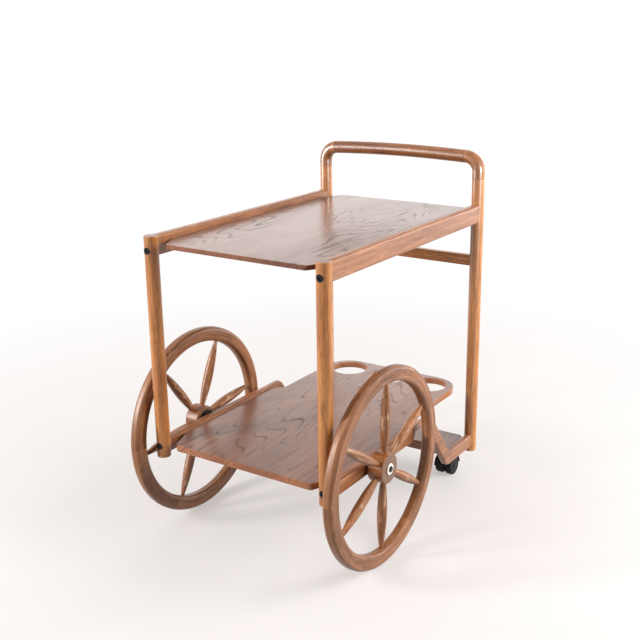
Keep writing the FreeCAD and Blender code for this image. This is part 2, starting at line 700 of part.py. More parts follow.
def bottle_batten():
    batten = bar(-BRACKET_FACE_X, BRACKET_FACE_X, BATTEN_Y, BATTEN_Y + BATTEN_DEEP,
                 BATTEN_BOTTOM, BATTEN_TOP, X_AXIS, BATTEN_ROUND)
    for start, end in batten_dowels():
        hole = dowel_hole(start, end, SMALL_DOWEL_D)
        batten = batten.cut(hole).cut(left(hole))
    for place in screw_places():
        batten = batten.cut(screw_hole(place))
    seat = caster_socket_seat()
    return batten.cut(seat).cut(left(seat))


def bottle_board():
    half_width = BRACKET_FACE_X - BOARD_SIDE_GAP
    half = [(half_width, BOARD_FRONT_Y, 0), (half_width, BOARD_FRONT_Y + BOARD_LONG, BOARD_CORNER_R)]
    board = plate(mirrored_plan(half, BATTEN_TOP), Z_AXIS * BOARD_T)
    board = soften_rims(board, BATTEN_TOP, BOARD_TOP, PANEL_EDGE_ROUND)
    for place in screw_places():
        board = board.cut(screw_hole(place))
    return board


def add_bottle_board():
    add("bottle_batten", bottle_batten())
    add("bottle_board", bottle_board())
    add("board_screws", *[board_screw(place) for place in screw_places()])
    pins = [dowel(start, end, SMALL_DOWEL_D) for start, end in batten_dowels()]
    add("batten_dowels", *pins, *[left(pin) for pin in pins])


# Big wheels
def spoke_profile():
    """Half outline of a turned spoke along +Z from the wheel's centre: tenon, belly, tenon."""
    hub_r = HUB_D / 2
    belly_z = hub_r + SPOKE_BELLY_SHARE * (RIM_INNER_R - hub_r)
    curve = Part.BSplineCurve()
    curve.interpolate([
        Vector(SPOKE_HUB_D / 2, 0, hub_r),
        Vector(SPOKE_BELLY_D / 2, 0, belly_z),
        Vector(SPOKE_RIM_D / 2, 0, RIM_INNER_R),
    ])
    start = hub_r - SPOKE_TENON
    end = RIM_INNER_R + SPOKE_TENON
    outline = [
        Vector(SPOKE_RIM_D / 2, 0, RIM_INNER_R),
        Vector(SPOKE_RIM_D / 2, 0, end),
        Vector(0, 0, end),
        Vector(0, 0, start),
        Vector(SPOKE_HUB_D / 2, 0, start),
        Vector(SPOKE_HUB_D / 2, 0, hub_r),
    ]
    return Part.Wire([curve.toShape()] + Part.makePolygon(outline).Edges)


def in_spoke_places(shape, phase):
    """Copies of a shape that points along +Z, turned to each spoke's place on the right wheel."""
    copies = []
    for index in range(SPOKE_COUNT):
        turn = 90 - phase + index * 360 / SPOKE_COUNT
        copy = shape.copy()
        copy.rotate(ORIGIN, X_AXIS, -turn)
        copy.translate(WHEEL_CENTRE)
        copies.append(copy)
    return copies


def spoke_holes(phase):
    reach = RIM_INNER_R + SPOKE_TENON
    inner = rod(SPOKE_HUB_D / 2 + DOWEL_CLEARANCE, Z_AXIS * (HUB_D / 2 - SPOKE_TENON), Z_AXIS * HUB_D)
    outer = rod(SPOKE_RIM_D / 2 + DOWEL_CLEARANCE, Z_AXIS * HUB_D, Z_AXIS * reach)
    return in_spoke_places(inner.fuse(outer), phase)


def wheel_rim(phase):
    """Hoop of rounded section, with a socket for each spoke."""
    half = RIM_T / 2
    section = block(WHEEL_PLANE_X - half, WHEEL_PLANE_X + half, AXLE_Y, AXLE_Y + RIM_SECTION_T,
                    WHEEL_R + RIM_INNER_R, WHEEL_R + WHEEL_R)
    section = section.makeFillet(RIM_ROUND, edges_along(section, Y_AXIS))
    face = [side for side in section.Faces if abs(side.CenterOfMass.y - AXLE_Y) < 1e-6][0]
    rim = face.revolve(WHEEL_CENTRE, X_AXIS, 360)
    rim = Part.Solid(rim) if rim.ShapeType == "Shell" else rim
    for hole in spoke_holes(phase):
        rim = rim.cut(hole)
    return rim


def wheel_hub(phase):
    hub = rod(HUB_D / 2, HUB_INNER, HUB_OUTER)
    rims = [edge for edge in hub.Edges if isinstance(edge.Curve, Part.Circle)]
    hub = hub.makeFillet(HUB_ROUND, rims)
    hub = hub.cut(rod(AXLE_D / 2 + BUSH_WALL, HUB_INNER, HUB_OUTER))
    for hole in spoke_holes(phase):
        hub = hub.cut(hole)
    return hub


def ring(outer_r, inner_r, start, end):
    return rod(outer_r, start, end).cut(rod(inner_r, start, end))


def axle():
    end = RETAINER_OUTER + X_AXIS * AXLE_END_PROUD
    shaft = rod(AXLE_D / 2, AXLE_INNER, end)
    rim = [edge for edge in shaft.Edges if edge.CenterOfMass.isEqual(end, 1e-6)]
    return shaft.makeChamfer(AXLE_END_CHAMFER, rim)


def add_wheel(side, phase, place):
    spoke = Part.Face(spoke_profile()).revolve(ORIGIN, Z_AXIS, 360)
    spokes = in_spoke_places(spoke, phase)
    bush_r = AXLE_D / 2 + BUSH_WALL - DOWEL_CLEARANCE
    running_r = AXLE_D / 2 + AXLE_CLEARANCE
    spacer_end = Vector(RAIL_OUTER_X + SPACER_T, AXLE_Y, WHEEL_R)
    add("wheel_rim_" + side, place(wheel_rim(phase)))
    add("wheel_hub_" + side, place(wheel_hub(phase)))
    add("wheel_spokes_" + side, *[place(one) for one in spokes])
    add("hub_bush_" + side, place(ring(bush_r, running_r, HUB_INNER, HUB_OUTER)))
    add("axle_" + side, place(axle()))
    spacer_start = Vector(RAIL_OUTER_X, AXLE_Y, WHEEL_R)
    add("axle_spacer_" + side, place(ring(SPACER_D / 2, running_r, spacer_start, spacer_end)))
    add("axle_retainer_" + side, place(ring(RETAINER_D / 2, running_r, RETAINER_INNER, RETAINER_OUTER)))


# Casters
def caster_point(offset_x, z):
    return Vector(CASTER_X + offset_x, CASTER_AXLE_Y, z)


def caster_socket_seat():
    """Hole in the batten for a caster's socket."""
    radius = CASTER_STEM_D / 2 + CASTER_SOCKET_WALL + DOWEL_CLEARANCE
    low = Vector(CASTER_X, CASTER_Y, BATTEN_BOTTOM)
    return rod(radius, low, low + Z_AXIS * CASTER_SOCKET_LONG)


def caster_socket():
    """Steel sleeve with a flange, pressed into the batten from below."""
    low = Vector(CASTER_X, CASTER_Y, FLANGE_BOTTOM)
    seat = Vector(CASTER_X, CASTER_Y, BATTEN_BOTTOM)
    top = seat + Z_AXIS * CASTER_SOCKET_LONG
    sleeve = rod(CASTER_STEM_D / 2 + CASTER_SOCKET_WALL, seat, top)
    socket = sleeve.fuse(rod(CASTER_FLANGE_D / 2, low, seat)).removeSplitter()
    bore_top = top - Z_AXIS * CASTER_SOCKET_WALL
    return socket.cut(rod(CASTER_STEM_D / 2 + AXLE_CLEARANCE, low, bore_top))


def caster_stem():
    bottom = Vector(CASTER_X, CASTER_Y, BOSS_TOP - CASTER_STEM_IN_BOSS)
    top_z = BATTEN_BOTTOM + CASTER_SOCKET_LONG - CASTER_SOCKET_WALL - CASTER_STEM_TOP_GAP
    return rod(CASTER_STEM_D / 2, bottom, Vector(CASTER_X, CASTER_Y, top_z))


def caster_hood():
    """Hood over the twin wheels: arched shell, web between the wheels and boss for the stem."""
    shell_inner = CASTER_WHEEL_D / 2 + CASTER_HOOD_GAP
    shell_outer = shell_inner + CASTER_HOOD_WALL
    half_width = CASTER_WEB_T / 2 + CASTER_SIDE_GAP + CASTER_WHEEL_T
    wide = [caster_point(side * half_width, CASTER_AXLE_Z) for side in (-1, 1)]
    thin = [caster_point(side * CASTER_WEB_T / 2, CASTER_AXLE_Z) for side in (-1, 1)]
    cut_z = CASTER_AXLE_Z + CASTER_HOOD_ABOVE_AXLE
    shell = ring(shell_outer, shell_inner, *wide)
    shell = shell.cut(block(CASTER_X - half_width, CASTER_X + half_width, CASTER_AXLE_Y - shell_outer,
                            CASTER_AXLE_Y + shell_outer, -CASTER_WHEEL_D, cut_z))
    web = rod(shell_outer, *thin)
    web = web.cut(block(CASTER_X - half_width, CASTER_X + half_width, CASTER_AXLE_Y - shell_outer,
                        CASTER_AXLE_Y + shell_outer, -CASTER_WHEEL_D, CASTER_AXLE_Z - CASTER_AXLE_HEAD_D))
    boss = rod(CASTER_BOSS_D / 2, Vector(CASTER_X, CASTER_Y, CASTER_AXLE_Z), Vector(CASTER_X, CASTER_Y, BOSS_TOP))
    for side in (-1, 1):
        near = caster_point(side * CASTER_WEB_T / 2, CASTER_AXLE_Z)
        far = caster_point(side * (half_width + CASTER_WEB_T), CASTER_AXLE_Z)
        boss = boss.cut(rod(shell_inner, near, far))
    hood = shell.fuse(web).fuse(boss).removeSplitter()
    hood = hood.cut(rod(CASTER_AXLE_D / 2 + DOWEL_CLEARANCE, *wide))
    stem_bottom = Vector(CASTER_X, CASTER_Y, BOSS_TOP - CASTER_STEM_IN_BOSS)
    stem_top = Vector(CASTER_X, CASTER_Y, BOSS_TOP)
    return hood.cut(rod(CASTER_STEM_D / 2 + DOWEL_CLEARANCE, stem_bottom, stem_top))


def caster_wheel(side):
    """One of the twin wheels; side is -1 or +1 along X from the web."""
    near = caster_point(side * (CASTER_WEB_T / 2 + CASTER_SIDE_GAP), CASTER_AXLE_Z)
    far = near + X_AXIS * (side * CASTER_WHEEL_T)
    wheel = rod(CASTER_WHEEL_D / 2, near, far)
    rims = [edge for edge in wheel.Edges if isinstance(edge.Curve, Part.Circle)]
    wheel = wheel.makeFillet(CASTER_WHEEL_ROUND, rims)
    return wheel.cut(rod(CASTER_AXLE_D / 2 + AXLE_CLEARANCE, near, far))


def caster_axle():
    """Pin through the web, with a head outside each wheel."""
    half = CASTER_WEB_T / 2 + CASTER_SIDE_GAP + CASTER_WHEEL_T + CASTER_SIDE_GAP
    pin = rod(CASTER_AXLE_D / 2, caster_point(-half, CASTER_AXLE_Z), caster_point(half, CASTER_AXLE_Z))
    for side in (-1, 1):
        start = caster_point(side * half, CASTER_AXLE_Z)
        pin = pin.fuse(rod(CASTER_AXLE_HEAD_D / 2, start, start + X_AXIS * (side * CASTER_AXLE_HEAD_T)))
    return pin.removeSplitter()


def add_casters():
    add_pair("caster_socket", caster_socket())
    add_pair("caster_stem", caster_stem())
    add_pair("caster_hood", caster_hood())
    add_pair("caster_axle", caster_axle())
    add_pair("caster_wheel_inner", caster_wheel(-1))
    add_pair("caster_wheel_outer", caster_wheel(1))


def keep(shape):
    return shape


add_upper_frame()
add_handle()
add_lower_frame()
add_bottle_board()
add_fasteners()
add_wheel("right", SPOKE_ANGLE_RIGHT, keep)
add_wheel("left", SPOKE_ANGLE_LEFT, left)
add_casters()

os.makedirs("parts", exist_ok=True)
for name, shape in nodes.items():
    placed = shape.copy()
    placed.translate(Vector(0, -MIDDLE_Y, 0))
    placed.exportStep("parts/" + name + ".step")
    volumes = [round(solid.Volume) for solid in placed.Solids]
    print(name, "valid" if placed.isValid() else "INVALID", len(placed.Solids), volumes[:3])
print("nodes", len(nodes), "middle", MIDDLE_Y)
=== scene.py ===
"""Looks of the wooden serving cart: stained oak, veneer, black fittings and a pale studio."""

import math
from functools import partial

import bpy
from mathutils import Matrix, Vector

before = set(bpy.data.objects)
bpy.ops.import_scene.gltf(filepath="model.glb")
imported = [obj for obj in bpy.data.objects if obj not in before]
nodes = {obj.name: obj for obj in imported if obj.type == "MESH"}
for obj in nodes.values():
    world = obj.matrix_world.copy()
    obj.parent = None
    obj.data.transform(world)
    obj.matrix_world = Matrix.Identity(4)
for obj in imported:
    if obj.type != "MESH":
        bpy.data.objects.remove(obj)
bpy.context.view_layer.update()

# Wheels: the axles' place, the pieces in a rim and the radii at which grain is laid out, in metres
AXLE_Y = -0.136
AXLE_Z = 0.2
FELLOES = 6
FELLOE_STEP = 0.37
RIM_RADIUS = 0.185
SPOKE_RADIUS = 0.09

# Floor: its width, and the distances between which it fades into the backdrop, in metres
FLOOR_SIZE = 16.0
FLOOR_FADE = (0.55, 2.0)
FLOOR_TONES = ((0.295, 0.278, 0.270), (0.325, 0.308, 0.300))
FLOOR_GLOW = (0.462, 0.440, 0.430)
WHITE = (1.0, 1.0, 1.0)
BLACK = (0.0, 0.0, 0.0)

# Studio light: the way to its bright side, and how bright its dim and bright sides are
BRIGHT_WAY = (-0.45, 0.72, 0.53)
DIM_LEVEL = 0.24
BRIGHT_LEVEL = 0.88
LIGHT_TINT = (1.0, 0.99, 0.98)

# Lamps: place, point aimed at, width and height in metres, power in watts
BACK_LAMP = ((-1.8, 3.4, 1.2), (0, 0, 0.6), (3.4, 0.7), 5.0)
LOW_BACK_LAMP = ((2.0, 2.9, 0.6), (0, 0, 0.4), (2.2, 1.0), 26.0)
SIDE_LAMP = ((1.9, 0.7, 1.2), (0, 0, 0.5), (1.3, 1.5), 70.0)
KEY_LAMP = ((-1.7, -2.2, 1.3), (0, 0, 0.6), (0.5, 1.4), 105.0)
LEFT_GLEAM = ((-1.5, -0.9, 0.75), (0, 0.27, 0.7), (0.4, 0.5), 60.0)
RIGHT_GLEAM = ((1.9, -0.4, 0.8), (0, 0.27, 0.7), (0.45, 0.5), 95.0)

# Camera, as fitted to the photograph
CAMERA_PLACE = Vector((1.10196, -1.63659, 1.03083))
CAMERA_AZIMUTH = math.radians(33.48)
CAMERA_ELEVATION = math.radians(16.53)
CAMERA_ROLL = math.radians(-0.62)
CAMERA_LENS = 55.83
CAMERA_SENSOR = 36.0
CAMERA_SHIFT = (-0.0145, -0.0170)

# Stained oak, from the dark of the pores to the light of the early wood; one set is a lighter copy of
# the post tones that paints light in
POST_TONES = ((0.260, 0.088, 0.021), (0.455, 0.168, 0.041), (0.585, 0.252, 0.074))
# Lighter copy of the post tones: painted light, for the rear posts lit from the right and behind, and
# for the rear cross rail in the tray's shade
POST_TONES_PAINTED_LIGHT = ((0.305, 0.108, 0.029), (0.550, 0.212, 0.060), (0.675, 0.310, 0.105))
RAIL_TONES = ((0.192, 0.067, 0.025), (0.318, 0.121, 0.046), (0.425, 0.183, 0.076))
CORNER_TONES = ((0.190, 0.062, 0.017), (0.345, 0.124, 0.036), (0.460, 0.192, 0.062))
HANDLE_TONES = ((0.140, 0.044, 0.013), (0.250, 0.085, 0.026), (0.350, 0.134, 0.046))
WHEEL_TONES = ((0.105, 0.037, 0.013), (0.255, 0.097, 0.036), (0.405, 0.175, 0.070))
VENEER_TONES = ((0.140, 0.056, 0.031), (0.208, 0.092, 0.056), (0.264, 0.129, 0.083))
DOWEL_TONES = ((0.330, 0.190, 0.090), (0.480, 0.300, 0.150), (0.560, 0.380, 0.210))
TONE_STOPS = (0.36, 0.50, 0.64)

# Edges of the veneered boards, worn stain and cut ends
TRAY_LIPPING = ((0.110, 0.034, 0.016), (0.240, 0.086, 0.040))
SHELF_LIPPING = ((0.220, 0.070, 0.026), (0.420, 0.160, 0.066))
LIPPING_STOPS = (0.40, 0.60)
RUBBED = (0.520, 0.360, 0.230)
END_GRAIN = (0.130, 0.075, 0.048)
END_GRAIN_SHARE = 0.75

# Grain lines: part of each veneer ring that is dark, their shade, and the share of lacquer in them
RING_COUNT = 36.0
TRAY_RINGS = (0.70, 0.94)
SHELF_RINGS = (0.78, 0.97)
GRAIN_SHADE = 0.45
OPEN_PORES = 0.15
FILLED_PORES = 0.55

# Lacquer: how much smoother it is than the wood under it
LACQUER_SMOOTHING = 0.12

# Fittings, each from dark to light
STEEL_TONES = ((0.010, 0.009, 0.009), (0.026, 0.023, 0.022))
ZINC_TONES = ((0.42, 0.41, 0.38), (0.62, 0.62, 0.60))
NYLON_TONES = ((0.66, 0.64, 0.56), (0.84, 0.83, 0.78))
PLASTIC_TONES = ((0.007, 0.007, 0.007), (0.018, 0.017, 0.017))
TREAD_TONES = ((0.010, 0.010, 0.010), (0.026, 0.025, 0.024))
RUBBED_STEEL = (0.13, 0.12, 0.11)
DUST = (0.09, 0.085, 0.08)

# Span that holds most values of a noise, and coordinates that grain along an axis is laid out in
NOISE_SPAN = (0.3, 0.7)
GRAIN_ORDER = {"X": (1, 2, 0), "Y": (0, 2, 1), "Z": (0, 1, 2)}


class Net:
    """Small helper round one material's node tree."""

    def __init__(self, name):
        self.material = bpy.data.materials.new(name)
        self.material.use_nodes = True
        self.tree = self.material.node_tree
        self.tree.nodes.clear()
        self.shader = self.add("ShaderNodeBsdfPrincipled")
        output = self.add("ShaderNodeOutputMaterial")
        self.tree.links.new(self.shader.outputs[0], output.inputs["Surface"])

    def add(self, kind, **settings):
        node = self.tree.nodes.new(kind)
        for key, value in settings.items():
            setattr(node, key, value)
        return node

    def put(self, value, socket):
        """Link a socket to another, or set it to a constant; a colour gets its alpha here."""
        if isinstance(value, bpy.types.NodeSocket):
            self.tree.links.new(value, socket)
        elif socket.type == "RGBA":
            socket.default_value = (*value, 1.0)
        else:
            socket.default_value = value

    def surface(self, settings):
        """Link or set the shader's own sockets by name."""
        for socket, value in settings.items():
            self.put(value, self.shader.inputs[socket])

    def object_place(self):
        return self.add("ShaderNodeTexCoord").outputs["Object"]

    def split(self, vector):
        node = self.add("ShaderNodeSeparateXYZ")
        self.put(vector, node.inputs[0])
        return node.outputs

    def join(self, *parts):
        node = self.add("ShaderNodeCombineXYZ")
        for part, socket in zip(parts, node.inputs):
            self.put(part, socket)
        return node.outputs[0]

    def math(self, operation, first, second=0.5):
        node = self.add("ShaderNodeMath", operation=operation)
        self.put(first, node.inputs[0])
        self.put(second, node.inputs[1])
        return node.outputs[0]

    def noise(self, place, scale, detail=4.0, roughness=0.55, distortion=0.0):
        node = self.add("ShaderNodeTexNoise")
        self.put(place, node.inputs["Vector"])
        node.inputs["Scale"].default_value = scale
        node.inputs["Detail"].default_value = detail
        node.inputs["Roughness"].default_value = roughness
        node.inputs["Distortion"].default_value = distortion
        return node.outputs["Fac"]

    def drawn_noise(self, place, slow, scale, **settings):
        """Noise drawn out along the third coordinate, along which it runs slower by the given share."""
        mapping = self.add("ShaderNodeMapping")
        self.put(place, mapping.inputs["Vector"])
        mapping.inputs["Scale"].default_value = (1.0, 1.0, slow)
        return self.noise(mapping.outputs[0], scale, **settings)

    def remap(self, value, span, result=(0.0, 1.0)):
        """Carry one span of values over to another, held at its ends."""
        node = self.add("ShaderNodeMapRange")
        self.put(value, node.inputs["Value"])
        node.inputs["From Min"].default_value = span[0]
        node.inputs["From Max"].default_value = span[1]
        node.inputs["To Min"].default_value = result[0]
        node.inputs["To Max"].default_value = result[1]
        return node.outputs[0]

    def ramp(self, value, stops, colours):
        node = self.add("ShaderNodeValToRGB")
        self.put(value, node.inputs[0])
        elements = node.color_ramp.elements
        while len(elements) < len(stops):
            elements.new(0.5)
        for element, stop, colour in zip(elements, stops, colours):
            element.position = stop
            element.color = (*colour, 1.0)
        return node.outputs[0]

    def mix(self, amount, first, second):
        """Mix two colours; the node's colour sockets come after those for numbers and vectors."""
        node = self.add("ShaderNodeMix", data_type="RGBA")
        self.put(amount, node.inputs[0])
        self.put(first, node.inputs[6])
        self.put(second, node.inputs[7])
        return node.outputs[2]

    def bump(self, height, strength, distance):
        node = self.add("ShaderNodeBump")
        node.inputs["Strength"].default_value = strength
        node.inputs["Distance"].default_value = distance
        self.put(height, node.inputs["Height"])
        return node.outputs[0]

    def edges(self, radius):
        """One along edges and nought on flat faces, from how far a rounded normal departs."""
        bevel = self.add("ShaderNodeBevel", samples=4)
        bevel.inputs["Radius"].default_value = radius
        geometry = self.add("ShaderNodeNewGeometry")
        dot = self.add("ShaderNodeVectorMath", operation="DOT_PRODUCT")
        self.put(bevel.outputs[0], dot.inputs[0])
        self.put(geometry.outputs["Normal"], dot.inputs[1])
        return self.remap(dot.outputs["Value"], (0.995, 0.86))


def straight_place(axis, net):
    """Object coordinates turned so that the grain runs along the third one."""
    parts = net.split(net.object_place())
    return net.join(*(parts[index] for index in GRAIN_ORDER[axis]))


def along(axis):
    return partial(straight_place, axis)


def wheel_parts(net):
    """Sideways place, distance from the axle and angle round it."""
    side, depth, height = net.split(net.object_place())
    across = net.math("SUBTRACT", depth, AXLE_Y)
    up = net.math("SUBTRACT", height, AXLE_Z)
    angle = net.math("ARCTAN2", up, across)
    across_squared = net.math("MULTIPLY", across, across)
    up_squared = net.math("MULTIPLY", up, up)
    far = net.math("SQRT", net.math("ADD", across_squared, up_squared))
    return side, far, angle


def rim_place(net):
    """Grain that follows the hoop, with a fresh piece of wood in each sector."""
    side, far, angle = wheel_parts(net)
    sector = net.math("FLOOR", net.math("MULTIPLY", angle, FELLOES / (2 * math.pi)))
    fresh_side = net.math("ADD", side, net.math("MULTIPLY", sector, FELLOE_STEP))
    return net.join(fresh_side, far, net.math("MULTIPLY", angle, RIM_RADIUS))


def spoke_place(net):
    """Grain that runs out along each spoke."""
    side, far, angle = wheel_parts(net)
    return net.join(side, net.math("MULTIPLY", angle, SPOKE_RADIUS), far)


def facing(net, axis):
    """One where the surface looks along an axis, and nought where it is turned away from it."""
    parts = net.split(net.add("ShaderNodeTexCoord").outputs["Normal"])
    share = net.math("ABSOLUTE", parts["XYZ".index(axis)])
    return net.remap(share, (0.75, 0.97))


def cathedral(net, place, ring_span):
    """Flame figure of a flat-sawn veneer leaf: thin stretched rings, bent by slow noise."""
    warp = net.drawn_noise(place, slow=0.22, scale=6.0, detail=2.0, roughness=0.45)
    rings = net.math("FRACT", net.math("MULTIPLY", warp, RING_COUNT))
    broken = net.drawn_noise(place, slow=0.08, scale=300.0, detail=3.0)
    patches = net.drawn_noise(place, slow=0.5, scale=9.0, detail=1.0)
    line = net.math("MULTIPLY", net.remap(rings, ring_span), net.remap(broken, (0.37, 0.51)))
    return net.math("MULTIPLY", line, net.remap(patches, (0.40, 0.54), (0.20, 1.0)))


def solid_grain(net, place):
    """Tone and dark lines of a solid piece: growth bands, slow drift, short pore lines."""
    bands = net.drawn_noise(place, slow=0.05, scale=130.0, detail=5.0, roughness=0.65, distortion=0.3)
    drift = net.drawn_noise(place, slow=0.25, scale=14.0, detail=3.0)
    streaks = net.drawn_noise(place, slow=0.03, scale=420.0, detail=3.0, roughness=0.6)
    fibre = net.drawn_noise(place, slow=0.05, scale=1300.0, detail=2.0, roughness=0.5)
    tone = net.math("ADD", net.math("MULTIPLY", bands, 0.6), net.math("MULTIPLY", drift, 0.4))
    lines = net.remap(streaks, (0.55, 0.62), (0.0, 0.60))
    pores = net.remap(fibre, (0.52, 0.62), (0.0, 0.45))
    return tone, drift, net.math("MAXIMUM", lines, pores)


def leaf_grain(ring_span, net, place):
    """Tone and dark lines of a veneer leaf: even ground, fine pores and a flame figure."""
    bands = net.drawn_noise(place, slow=0.05, scale=240.0, detail=4.0, roughness=0.6)
    drift = net.drawn_noise(place, slow=0.35, scale=6.0, detail=3.0)
    fibre = net.drawn_noise(place, slow=0.04, scale=1300.0, detail=2.0, roughness=0.5)
    tone = net.math("ADD", net.math("MULTIPLY", bands, 0.35), net.math("MULTIPLY", drift, 0.65))
    pores = net.remap(fibre, (0.54, 0.68), (0.0, 0.45))
    return tone, drift, net.math("MAXIMUM", pores, cathedral(net, place, ring_span))


def oak_colour(net, tone, grain, tones, cut_axis, lipping):
    """Ground, lipping, grain lines and cut ends, laid over each other in that order."""
    colour = net.ramp(tone, TONE_STOPS, tones)
    if lipping:
        upright = net.math("SUBTRACT", 1.0, facing(net, "Z"))
        colour = net.mix(upright, colour, net.ramp(tone, LIPPING_STOPS, lipping))
    colour = net.mix(grain, colour, tuple(channel * GRAIN_SHADE for channel in tones[0]))
    if cut_axis:
        cut = net.math("MULTIPLY", facing(net, cut_axis), END_GRAIN_SHARE)
        colour = net.mix(cut, colour, END_GRAIN)
    return colour


def rubbing(net, place_of, drift, wear):
    """How far the stain is rubbed off: along edges, and in patches on worn pieces."""
    worn = net.math("MULTIPLY", net.edges(0.0025), net.remap(drift, (0.35, 0.65), (0.10, 0.45)))
    if not wear:
        return worn
    patches = net.drawn_noise(place_of(net), slow=0.35, scale=75.0, roughness=0.65)
    return net.math("MAXIMUM", worn, net.remap(patches, (0.55, 0.68), (0.0, wear)))


def oak(name, place_of, tones, gloss, shine=0.3, coat=0.35, grain_of=solid_grain,
        wear=0.0, cut_axis=None, lipping=None):
    """Stained oak: toned ground, dark grain lines, rubbed edges and a lacquer coat."""
    net = Net(name)
    tone, drift, grain = grain_of(net, place_of(net))
    colour = oak_colour(net, tone, grain, tones, cut_axis, lipping)
    height = net.math("SUBTRACT", net.math("MULTIPLY", tone, 0.3), grain)
    net.surface({
        "Base Color": net.mix(rubbing(net, place_of, drift, wear), colour, RUBBED),
        "Roughness": net.remap(tone, NOISE_SPAN, (gloss + 0.08, gloss - 0.05)),
        "Specular IOR Level": shine,
        "Normal": net.bump(height, 0.10, 0.0003),
    })
    if coat:
        pores = OPEN_PORES if lipping else FILLED_PORES
        net.surface({
            "Coat Weight": net.remap(grain, (0.0, 1.0), (coat, pores * coat)),
            "Coat Roughness": gloss - LACQUER_SMOOTHING,
        })
    return net.material


def black_metal():
    """Blackened steel with rubbed edges and a faint cast of brown."""
    net = Net("black_steel")
    mottle = net.noise(net.object_place(), scale=420.0, detail=5.0, roughness=0.6)
    rubbed = net.math("MULTIPLY", net.edges(0.0006), 0.5)
    net.surface({
        "Base Color": net.mix(rubbed, net.ramp(mottle, (0.35, 0.65), STEEL_TONES), RUBBED_STEEL),
        "Metallic": 0.6,
        "Roughness": net.remap(mottle, NOISE_SPAN, (0.34, 0.56)),
        "Normal": net.bump(mottle, 0.15, 0.0002),
    })
    return net.material


def zinc():
    """Plated steel with fine drawn lines and duller patches."""
    net = Net("zinc_steel")
    place = net.object_place()
    lines = net.drawn_noise(place, slow=0.05, scale=2600.0, detail=3.0)
    patches = net.noise(place, scale=160.0, detail=3.0)
    net.surface({
        "Base Color": net.ramp(patches, (0.35, 0.65), ZINC_TONES),
        "Metallic": 1.0,
        "Roughness": net.remap(lines, NOISE_SPAN, (0.28, 0.46)),
        "Normal": net.bump(lines, 0.12, 0.0001),
    })
    return net.material


def nylon():
    """Aged white nylon: slightly yellow, cloudy and softly lit from within."""
    net = Net("white_nylon")
    cloud = net.noise(net.object_place(), scale=190.0)
    net.surface({
        "Base Color": net.ramp(cloud, NOISE_SPAN, NYLON_TONES),
        "Subsurface Weight": 0.15,
        "Subsurface Radius": (0.002, 0.002, 0.0015),
        "Roughness": net.remap(cloud, NOISE_SPAN, (0.38, 0.52)),
        "Normal": net.bump(cloud, 0.1, 0.0002),
    })
    return net.material


def moulded(name, tones, rough):
    """Moulded black plastic or tread: fine pebbling, dust on the edges."""
    net = Net(name)
    place = net.object_place()
    pebble = net.noise(place, scale=2400.0, detail=2.0)
    dust = net.noise(place, scale=70.0)
    dusty = net.math("MULTIPLY", net.edges(0.0012), 0.25)
    net.surface({
        "Base Color": net.mix(dusty, net.ramp(dust, (0.35, 0.70), tones), DUST),
        "Roughness": net.remap(dust, NOISE_SPAN, (rough - 0.06, rough + 0.12)),
        "Specular IOR Level": 0.15,
        "Normal": net.bump(pebble, 0.2, 0.0002),
    })
    return net.material


def dress(material, *names):
    """Give CAD nodes a material in place of their own."""
    for name in names:
        slots = nodes[name].data.materials
        slots.clear()
        slots.append(material)


def pair(*names):
    return [name + side for name in names for side in ("_right", "_left")]


def dress_frame():
    post = oak("oak_front_post", along("Z"), POST_TONES, 0.36, coat=0.6, cut_axis="Z")
    dress(post, *pair("front_post"))
    # The rear posts take the lighter copy of the post tones, as painted light
    rear_post = oak("oak_rear_post_painted_light", along("Z"), POST_TONES_PAINTED_LIGHT, 0.32, coat=0.9, cut_axis="Z")
    dress(rear_post, *pair("rear_post"))
    dress(oak("oak_rail", along("Y"), RAIL_TONES, 0.38, coat=0.6), *pair("upper_rail", "rear_bracket"))
    # The lower rails take the handle's darker tones as painted shade, for the little light that reaches
    # them low down
    dress(oak("oak_lower_rail_painted_shade", along("Y"), HANDLE_TONES, 0.38), *pair("lower_rail"))
    # The rear cross rail takes the lighter copy of the post tones, as painted light where the tray
    # shades it
    dress(oak("oak_cross_rail_painted_light", along("X"), POST_TONES_PAINTED_LIGHT, 0.36, coat=0.6), "rear_cross_rail")
    dress(oak("oak_batten", along("X"), RAIL_TONES, 0.38, coat=0.6), "bottle_batten")
    dress(oak("oak_handle_corner", along("Z"), CORNER_TONES, 0.36, coat=0.7), *pair("handle_corner"))
    dress(oak("oak_handle_bar", along("X"), HANDLE_TONES, 0.40, coat=0.6), "handle_bar")
    beech = oak("beech_dowel", along("X"), DOWEL_TONES, 0.55, coat=0.0)
    dress(beech, "cross_rail_dowels", "handle_dowels", "shelf_dowels", "batten_dowels")


def dress_wheels():
    dress(oak("oak_rim", rim_place, WHEEL_TONES, 0.38, wear=0.15), *pair("wheel_rim"))
    dress(oak("oak_spoke", spoke_place, WHEEL_TONES, 0.36, wear=0.7), *pair("wheel_spokes"))
    dress(oak("oak_hub", along("X"), HANDLE_TONES, 0.36, cut_axis="X"), *pair("wheel_hub"))


def dress_boards():
    for name, lipping, rings, boards in (
            ("oak_tray", TRAY_LIPPING, TRAY_RINGS, ["upper_tray"]),
            ("oak_shelf", SHELF_LIPPING, SHELF_RINGS, ["lower_shelf", "bottle_board"])):
        veneer = oak(name, along("Y"), VENEER_TONES, 0.34, shine=0.2, coat=0.85,
                     grain_of=partial(leaf_grain, rings), lipping=lipping)
        dress(veneer, *boards)


def dress_fittings():
    dress(black_metal(), "front_bolts", "rear_bolts", "barrel_nuts", *pair("axle", "caster_axle"))
    dress(zinc(), "board_screws", *pair("caster_socket", "caster_stem"))
    dress(nylon(), *pair("axle_retainer", "hub_bush"))
    dress(moulded("black_plastic", PLASTIC_TONES, 0.42), *pair("caster_hood", "axle_spacer"))
    tread = moulded("caster_tread", TREAD_TONES, 0.55)
    dress(tread, *pair("caster_wheel_inner", "caster_wheel_outer"))


